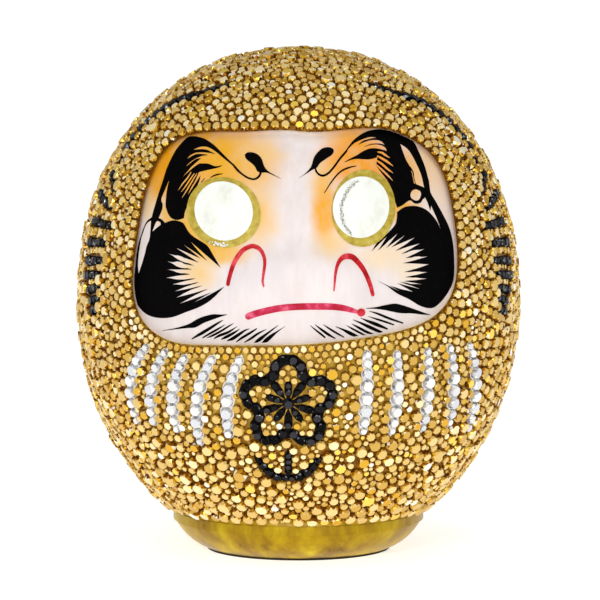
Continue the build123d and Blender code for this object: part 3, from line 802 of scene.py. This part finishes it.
RIGHT_BROW = [
    [(13.8, 124.8), (15.1, 126.4), (16.4, 127.7), (18.1, 128.8), (20, 129.6), (21.7, 129.9), (23.4, 130),
     (25.5, 129.8), (27.9, 129.5), (29.6, 129), (30.8, 128.3), (32.3, 127.3), (34.1, 125.6), (35.8, 122.3),
     (37.3, 118.7), (38.3, 115.1), (38.8, 111.9)],
    [(39.3, 110.1), (38.8, 106.7)],
    [(38.1, 108.8), (37.3, 110.5)],
    [(36.6, 110.1), (36, 109.2), (35.2, 109), (34.1, 109.2), (33, 110.1), (31.9, 109.8), (30.5, 108.9),
     (29, 108.4)],
    [(28.1, 111), (27.7, 113), (27, 114.6), (26, 116.3), (24.5, 118.2), (23, 120.2)],
    [(23, 121.4), (23.3, 122.7)],
    [(22.3, 122.4), (20.9, 122.2), (19.2, 122.3), (17.2, 122.5), (15.5, 122.3), (13.6, 121.7)],
    [(13.6, 121.8)],
    [(15.1, 122.6), (17, 123.4), (18.7, 124.3), (20.6, 125), (22.3, 125.1)],
    [(23.8, 124.8), (25.1, 124.4), (26.1, 124.1)],
    [(25.7, 124.9), (24.5, 125.7), (22.8, 126.1), (20.9, 126), (19.3, 125.6)],
    [(20.9, 126.2), (22.3, 126.3), (24, 126.2), (25.4, 125.8)],
    [(24.5, 126.7), (23.2, 127.2), (21.3, 127.3), (19.4, 126.9), (17.6, 126.3)],
    [(18.9, 127.2), (20.6, 127.6), (22.1, 127.8), (23.2, 127.8)],
    [(21.9, 128.1), (20.6, 128.1), (18.9, 127.7), (17.2, 127.1), (16.2, 126.6), (14.9, 125.5),
     (13.8, 124.2)],
    [(13.8, 124.8)],
]
RIGHT_BROW_GAP = [
    [(30, 125.6), (32.4, 123.7), (34.5, 120.2), (36, 116.9), (36.9, 113.3)],
    [(35.5, 114), (34, 114.7)],
    [(33, 118.8), (31.7, 121.2), (30.7, 123.6), (30, 125.6)],
]
RIGHT_RING_GAP = [
    [(34.5, 113), (35.7, 112.4), (36, 111.3), (35.4, 110.1), (34.5, 109.9), (33.3, 110.6), (32.9, 111.6),
     (33.4, 112.7), (34.5, 113)],
]
RIGHT_BEARD_EDGE = [
    [(38.4, 115.1), (38.8, 111.9), (40.5, 108.9), (42.2, 105.8), (44.3, 101.5), (45.4, 97.3), (45.8, 93.1),
     (45.8, 87.6), (45, 84.4), (42.6, 80.9), (39.6, 78.7), (36.2, 79.4), (32.4, 81.9), (29, 83.8),
     (26, 86.2), (23.4, 87.8)],
]
RIGHT_BEARD_SPIKES = [
    (30.2, 84.2), (26.8, 86.2), (33.7, 83.9), (29, 86.8), (36, 84.5), (29.8, 87.1), (36.7, 85.8),
    (30.9, 87.3), (37.8, 87.4), (31.4, 88.4), (38, 89.3), (31.1, 89.9), (38.4, 91.5), (30.7, 92.5),
    (38.1, 93.8), (31.5, 93.9), (37.1, 96.1), (30.2, 95.2), (35.8, 97.8), (28.5, 96.2), (34.3, 99.6),
    (27.3, 97.3), (31.5, 100.6), (25.8, 97.2), (29.2, 101.2), (23.4, 96.6), (26, 100.5), (21.5, 96.5),
]
RIGHT_BEARD_TOP = [
    [(23.4, 99.3), (25.5, 100.8), (28.3, 103.5), (28.9, 105.5), (29, 107.2)],
    [(30.5, 108.1), (32, 108.5), (34.9, 108.3), (37.9, 106.8), (40.5, 103.8), (42.1, 100.6)],
    [(40.7, 104.4), (39.2, 107.8), (38.4, 110.7), (37.7, 113.6), (38.4, 115.1)],
]
RIGHT_LEAF = [
    [(19.8, 80), (22.8, 80.2), (25.2, 80.6), (28.2, 80.9), (30.2, 80.4), (32.7, 79.4), (35.2, 78.3),
     (39, 76.6)],
    [(36.4, 77), (33.4, 77.6), (29.7, 78), (25.2, 79.2), (22.3, 79.7), (19.8, 79.9)],
]
LEFT_HEAD = [
    [(-5.2, 117.4), (-7.6, 118.4), (-9.4, 119), (-11, 119), (-12.1, 119.3), (-12.7, 120.4), (-13.7, 121.4),
     (-14.8, 122.1), (-15.6, 122.9), (-15.7, 123.8), (-15, 124.3), (-13.9, 124.4), (-12.4, 124.1),
     (-11.4, 123.4), (-10.7, 122.5), (-9.4, 119.8), (-5.2, 117.4)],
]
RIGHT_HEAD = [
    [(0.2, 117.6), (1.8, 118.7), (3.2, 120), (3.9, 121.2), (4.3, 122.5), (4.8, 123.6), (6, 124.9),
     (7.3, 125.7), (8.9, 125.9), (10.2, 125.4), (10.3, 124.4), (9.5, 123.6), (8.3, 122.9), (7, 122.1),
     (6.1, 121.4), (5.5, 120.5), (4.4, 120), (0.2, 117.6)],
]

# Brush strokes: (across, up, width) in mm
BROW_LINES = [
    [(-19.3, 120.9, 0.52), (-17.9, 119.4, 0.65), (-16.6, 118.4, 0.52), (-14.8, 117.4, 0.52),
     (-13, 117.1, 0.52), (-11.6, 117.9, 0.58), (-10.9, 119.4, 0.58)],
    [(4.7, 120.8, 0.52), (5.5, 119, 0.52), (7, 118.2, 0.58), (8.7, 118.8, 0.58), (10.5, 120.6, 0.58),
     (12.1, 122.6, 0.58), (14.1, 124.7, 0.58)],
    [(17, 120.6, 0.19), (14.4, 120.1, 0.45), (12.1, 119, 0.45), (9.9, 116.7, 0.39), (7.6, 113.4, 0.19)],
    [(-27.6, 116.6, 0.17), (-28.6, 115.4, 0.17)],
    [(-26, 116.8, 0.09), (-25.1, 117.4, 0.3), (-23.8, 117.9, 0.38), (-22.2, 118.2, 0.06)],
]
GAP_LINE = [
    [(32.8, 119.2, 0.3), (33.6, 117.8, 0.34), (33.9, 116.2, 0.21), (34.4, 114.5, 0.17)],
]
BEARD_HAIRS = [
    [(-31.3, 70.2, 0.3), (-30.3, 70.9, 0.6), (-28.3, 72.2, 0.9), (-25.8, 73.9, 0.8), (-23.4, 75.6, 0.5),
     (-22.1, 76.4, 0.1)],
    [(-28.1, 70.8, 0.34), (-26.3, 72, 0.59), (-23.9, 73.5, 0.59), (-21.5, 75.1, 0.1)],
    [(-27, 70.8, 0.1), (-25.3, 71.6, 0.59), (-22.6, 73.2, 0.59), (-20.4, 74.7, 0.42), (-19, 75.6, 0.07)],
    [(-24.7, 70.8, 0.34), (-23.1, 71.8, 0.77), (-20.6, 72.9, 0.68), (-18, 74.7, 0.12)],
    [(-22.6, 70.7, 0.34), (-21.1, 71.5, 0.85), (-18.9, 72.8, 0.68), (-17.2, 74, 0.1)],
    [(-20.8, 70.4, 0.34), (-19.4, 71, 0.94), (-17.4, 72.4, 0.85), (-15.7, 73.6, 0.51), (-14.3, 74.2, 0.07)],
    [(-18.2, 70.1, 0.26), (-16.7, 71.3, 0.68), (-14.2, 72.9, 0.68), (-12.3, 74.2, 0.34)],
    [(-15.8, 70.1, 0.26), (-13.9, 71.3, 0.68), (-11.7, 72.9, 0.59), (-9.3, 74.2, 0.07)],
    [(-13.1, 69.9, 0.26), (-11.5, 71, 1.04), (-9.5, 72.6, 0.68), (-7.7, 74, 0.42), (-5.9, 75.4, 0.1)],
    [(-11, 69.6, 0.26), (-9.5, 70.8, 1.19), (-8, 72.1, 1), (-6.2, 73.5, 0.42), (-4, 75, 0.05)],
    [(3.4, 75.4, 0.1), (4.9, 74.1, 0.42), (6.4, 72.9, 0.59), (7.7, 71.8, 0.51)],
    [(4.8, 75.6, 0.1), (6.6, 74.2, 0.59), (8.6, 72.7, 0.77), (10.7, 71.4, 0.34)],
    [(7.2, 75.6, 0.1), (9.1, 74.3, 0.51), (11.1, 73, 0.59), (13.3, 71.7, 0.34)],
    [(10.9, 74.9, 0.1), (13.1, 73.9, 0.59), (15.3, 72.7, 1.09), (17.6, 71.6, 0.59)],
    [(14, 75.2, 0.07), (15.8, 74.1, 0.51), (18.1, 72.8, 0.59), (20.4, 71.5, 0.34)],
    [(15.6, 75.6, 0.1), (17.6, 74.4, 0.68), (20, 73, 0.77), (22.4, 72, 0.34)],
    [(16, 76.8, 0.1), (18.3, 75.7, 0.59), (21, 74.3, 1), (24.4, 72.6, 0.77)],
    [(18.2, 77.2, 0.1), (20.3, 76.2, 0.68), (22.8, 75.1, 1.04), (26, 73.6, 0.51)],
    [(20.4, 77.6, 0.07), (22.8, 76.7, 0.51), (25.2, 75.8, 0.59), (27.9, 74.7, 0.42)],
    [(20.8, 79.1, 0.1), (23.3, 78.2, 0.59), (26.5, 76.7, 0.68), (30.6, 75, 0.42)],
]
GROUND_SLITS = [
    [(-35.3, 112.7, 0.05), (-34.1, 114.5, 0.3), (-32.7, 116.2, 0.34), (-31.5, 118, 0.17)],
    [(-34.4, 112.3, 0.05), (-33, 114.2, 0.3), (-31.8, 116, 0.34), (-30.6, 117.7, 0.17)],
    [(-34.2, 110.7, 0.05), (-32.7, 113.1, 0.3), (-31.3, 115.4, 0.34), (-29.8, 117.8, 0.17)],
    [(23.3, 124, 0.26), (24.5, 123.7, 0.51), (25.7, 122.9, 0.47), (26.8, 122.2, 0.09)],
    [(23.2, 122.9, 0.3), (24.5, 122.2, 0.55), (26.2, 121.1, 0.55), (27.8, 119.9, 0.09)],
    [(23, 121.7, 0.34), (24.5, 120.7, 0.55), (26.2, 119.2, 0.47), (27.8, 118, 0.06)],
    [(23.1, 120.4, 0.34), (24.5, 119.1, 0.47), (26.2, 117.5, 0.43), (27.7, 115.9, 0.06)],
]
NOSE_LINES = [
    [(-20.7, 87, 1.03), (-20.3, 88.9, 1.1), (-19.2, 92.5, 1.23), (-18.1, 94.7, 1.29), (-16.6, 96.7, 1.29),
     (-15, 97.8, 1.29), (-13.4, 98.3, 1.29), (-11.8, 97.8, 1.23), (-10.7, 96.7, 1.1), (-10, 95, 0.97),
     (-9.9, 93.1, 0.9), (-10.3, 90.2, 0.77), (-10.5, 88.3, 0.65), (-10.2, 86.9, 0.45)],
    [(10.4, 85.7, 0.45), (10.6, 87.7, 0.58), (10.8, 90.2, 0.77), (11.3, 92.7, 0.97), (12.1, 94.3, 1.23),
     (13.2, 95.2, 1.48), (14.6, 95.4, 1.61), (16, 95, 1.55), (17.6, 93.4, 1.42), (19.2, 91.2, 1.29),
     (20.4, 88.6, 1.23), (21.2, 86.3, 1.16), (21.8, 83.9, 1.03)],
]
MOUTH_LINE = [
    [(-14.7, 77.8, 1.94), (-12.7, 78.6, 2), (-10.1, 79.4, 2), (-6.3, 80.3, 2), (-2.4, 80.8, 2),
     (1.5, 81, 2), (5.3, 81, 2), (9.2, 80.9, 2), (12.4, 80.5, 1.87), (15, 79.8, 1.61), (17, 79.1, 1.16)],
]

left_spikes = [[tip] for tip in LEFT_BEARD_SPIKES]
left_beard = closed_outline(LEFT_BEARD_EDGE + left_spikes + LEFT_BEARD_TOP)
right_spikes = [[tip] for tip in RIGHT_BEARD_SPIKES]
right_beard = closed_outline(RIGHT_BEARD_EDGE + right_spikes + RIGHT_BEARD_TOP)
# Lifts and sinks are in mm off the face, so that the later coats lie over the earlier ones
BLACK_LAYERS = {
    "left_brow_paint": [closed_outline(LEFT_BROW), closed_outline(LEFT_HEAD)],
    "right_brow_paint": [closed_outline(RIGHT_BROW), closed_outline(RIGHT_HEAD)],
    "left_beard_paint": [left_beard, closed_outline(LEFT_LEAF)],
    "right_beard_paint": [right_beard, closed_outline(RIGHT_LEAF)],
    "brow_line_paint": strokes(BROW_LINES),
    "beard_hair_paint": strokes(BEARD_HAIRS),
}
for name, outlines in BLACK_LAYERS.items():
    paint_layer(name, outlines, BLACK_PAINT, lift=0.10)
gaps = [closed_outline(gap) for gap in (LEFT_LOOP_GAP, LEFT_DROP_GAP, RIGHT_BROW_GAP, RIGHT_RING_GAP)]
gaps += strokes(GROUND_SLITS)
paint_layer("bare_ground_paint", gaps, FACE_GROUND, lift=0.15, sink=0.02)
paint_layer("brow_tick_paint", strokes(GAP_LINE), BLACK_PAINT, lift=0.20, sink=0.05)
paint_layer("nose_line_paint", strokes(NOSE_LINES), RED_PAINT, lift=0.12)
paint_layer("mouth_paint", strokes(MOUTH_LINE), ROSE_PAINT, lift=0.12)
mouth_dot = dot_outline(18.4, 78.8, radius=1.2, count=18)
paint_layer("mouth_corner_dot", [mouth_dot], RED_PAINT, lift=0.18)

# Grey specks along the crease on the right eye and the glitter at the foot of the left one, in mm and
# degrees
CREASE_LINE = [(17.3, 116.6), (14.6, 114.2), (13.0, 111.2), (12.6, 108.4), (13.3, 104.9), (15.4, 101.6)]
CREASE_STEP = 0.2
CREASE_DOTS = 5  # at each step
CREASE_SCATTER = (0.3, 0.22)  # across and up
CREASE_DOT = (0.06, 0.17)  # least and greatest radius
GLITTER_CENTRE = (-22.0, 107.6)
GLITTER_REACH = (9.3, 0.3)  # mean and spread
GLITTER_BEARING = (264, 11)
GLITTER_DOTS = 24
GLITTER_DOT = (0.12, 0.34)
DOT_SIDES = 6
picker = random.Random(4)
crease_specks = []
for place in smooth(CREASE_LINE, CREASE_STEP):
    for _ in range(CREASE_DOTS):
        spot = place + np.array([picker.gauss(0, CREASE_SCATTER[0]), picker.gauss(0, CREASE_SCATTER[1])])
        crease_specks.append(dot_outline(spot[0], spot[1], picker.uniform(*CREASE_DOT), DOT_SIDES))
paint_layer("right_eye_crease_specks", crease_specks, GREY_SPECKS, lift=0.05, sink=-0.02, tree=EYE_TREE)
glitter = []
for _ in range(GLITTER_DOTS):
    bearing = math.radians(picker.gauss(*GLITTER_BEARING))
    reach = picker.gauss(*GLITTER_REACH)
    across = GLITTER_CENTRE[0] + reach * math.cos(bearing)
    up = GLITTER_CENTRE[1] + reach * math.sin(bearing)
    glitter.append(dot_outline(across, up, picker.uniform(*GLITTER_DOT), DOT_SIDES))
paint_layer("left_eye_glitter", glitter, WHITE_PAINT, lift=0.09, sink=-0.02, tree=EYE_TREE)

# -------------------------------------------------- painted ground under crystals

GROUND_MARGIN = 0.20 * MM  # past the crystals on it
GROUND_REACH = 0.45 * MM  # gap between crystals that a ground still bridges
ROW_REACH = 0.15 * MM  # the same for the dashes, whose rows lie close together
TIP_LENGTH = 1.7 * MM  # of the taper past a row's end
STRIPE_TIP_LENGTH = 0.6 * MM
TIP_HALF_WIDTH = 0.05 * MM
GROUND_LIFT = 0.05 * MM
GROUND_SINK = -0.06 * MM
DISC_SIDES = 20


def prism(points, faces, outline, axis):
    """A thin slab over a convex outline, its top and bottom along the axis."""
    start, count = len(points), len(outline)
    points += [p + axis * GROUND_LIFT for p in outline] + [p + axis * GROUND_SINK for p in outline]
    faces.append(tuple(range(start, start + count)))
    faces.append(tuple(range(start + 2 * count - 1, start + count - 1, -1)))
    for i in range(count):
        j = (i + 1) % count
        faces.append((start + j, start + i, start + count + i, start + count + j))


def crystal_ground(name, sources, material, joined=GROUND_REACH, tip_length=TIP_LENGTH):
    """A painted band under rows of crystals: a disc under each, bridges between, a taper past each end."""
    crystals = [c for source in sources for c in read_crystals(source)]
    points, faces = [], []
    for i, (back, axis, radius, _) in enumerate(crystals):
        across, along = any_across(axis)
        reach = radius + GROUND_MARGIN
        angles = [2 * math.pi * k / DISC_SIDES for k in range(DISC_SIDES)]
        rim = [back + reach * (math.cos(a) * across + math.sin(a) * along) for a in angles]
        prism(points, faces, rim, axis)
        near = []
        for j, (other, _, other_radius, _) in enumerate(crystals):
            gap = np.linalg.norm(other - back) - radius - other_radius
            if i != j and gap < joined:
                near.append((other, other_radius))
                if i < j:
                    bridge(points, faces, back, other, reach, other_radius + GROUND_MARGIN, axis)
        if len(near) == 1:
            away = back - near[0][0]
            away -= axis * (away @ axis)
            away /= np.linalg.norm(away)
            tip = back + away * (reach + tip_length)
            bridge(points, faces, back, tip, reach, TIP_HALF_WIDTH, axis)
    return make_piece(name, points, faces, [material], None)


def bridge(points, faces, start, end, start_half, end_half, axis):
    """A straight slab from start to end, with its half width at each."""
    side = np.cross(axis, end - start)
    side /= np.linalg.norm(side)
    near, far = side * start_half, side * end_half
    prism(points, faces, [start - near, end - far, end + far, start + near], axis)


BLACK_GROUND = painted("ground_black", [(0.3, (8, 6, 8)), (0.7, (24, 19, 20))], 400, 0.5, specular=0.05)
WHITE_GROUND = painted("ground_white", [(0.3, (228, 228, 224)), (0.7, (250, 250, 246))], 400, 0.4, coat=0.3)
crystal_ground("chest_flower_ground", ["chest_flower_crystals"], BLACK_GROUND)
crystal_ground("chest_leaf_ground", ["chest_leaf_crystals"], BLACK_GROUND)
for side in ("left", "right"):
    crystal_ground(side + "_hood_line_ground", [side + "_hood_line_crystals"], BLACK_GROUND)
    dashes = [side + "_side_dash_crystals"]
    crystal_ground(side + "_side_dash_ground", dashes, BLACK_GROUND, joined=ROW_REACH)
    stripes = sorted(n for n in nodes if n.startswith(side + "_stripe_crystals"))
    ground = side + "_stripe_ground"
    crystal_ground(ground, stripes, WHITE_GROUND, tip_length=STRIPE_TIP_LENGTH)

# -------------------------------------------------- floor, light and camera

FLOOR_HALF = 7.0
FLOOR_GLOW = 0.68
SKY_STRENGTH = 0.32
LIT_POINT = Vector((0, 0, 0.07))
floor_points = [(-FLOOR_HALF, -FLOOR_HALF, 0), (FLOOR_HALF, -FLOOR_HALF, 0)]
floor_points += [(FLOOR_HALF, FLOOR_HALF, 0), (-FLOOR_HALF, FLOOR_HALF, 0)]
floor_mesh = bpy.data.meshes.new("studio_floor")
floor_mesh.from_pydata(floor_points, [], [(0, 1, 2, 3)])
floor_material, floor_shader = new_material("floor_pale", roughness=0.8, colour=(250, 250, 250))
floor_shader.inputs["Emission Color"].default_value = (1, 1, 1, 1)
floor_shader.inputs["Emission Strength"].default_value = FLOOR_GLOW
floor_mesh.materials.append(floor_material)
floor = bpy.data.objects.new("studio_floor", floor_mesh)
bpy.context.scene.collection.objects.link(floor)

world = bpy.data.worlds.new("studio")
world.use_nodes = True
world.node_tree.nodes["Background"].inputs["Color"].default_value = (1, 1, 1, 1)
world.node_tree.nodes["Background"].inputs["Strength"].default_value = SKY_STRENGTH
bpy.context.scene.world = world


def soft_box(name, place, size, power):
    """A square lamp that faces the doll."""
    light = bpy.data.lights.new(name, "AREA")
    light.size = size
    light.energy = power
    box = bpy.data.objects.new(name, light)
    box.location = place
    box.rotation_euler = (LIT_POINT - Vector(place)).to_track_quat("-Z", "Y").to_euler()
    bpy.context.scene.collection.objects.link(box)


soft_box("key", place=(-0.38, -1.35, 0.58), size=0.4, power=6.0)
soft_box("fill", place=(0.45, -1.35, 0.35), size=0.5, power=3.3)
soft_box("top", place=(0.1, -0.2, 1.2), size=0.5, power=3.2)

CAMERA_DISTANCE = 4.5
CAMERA_RISE = math.radians(8)
FRAME_WIDTH = 0.17856  # of the picture, at the doll
SENSOR_WIDTH = 36
aim = Vector((0.00045, 0.0, 0.0742))
camera_data = bpy.data.cameras.new("photo_view")
camera_data.lens = SENSOR_WIDTH * CAMERA_DISTANCE / FRAME_WIDTH
camera_data.clip_end = 60
camera = bpy.data.objects.new("photo_view", camera_data)
back = Vector((0, -math.cos(CAMERA_RISE), math.sin(CAMERA_RISE)))
camera.location = aim + back * CAMERA_DISTANCE
camera.rotation_euler = (-back).to_track_quat("-Z", "Y").to_euler()
bpy.context.scene.collection.objects.link(camera)
bpy.context.scene.camera = camera
bpy.context.scene.view_settings.view_transform = "Standard"
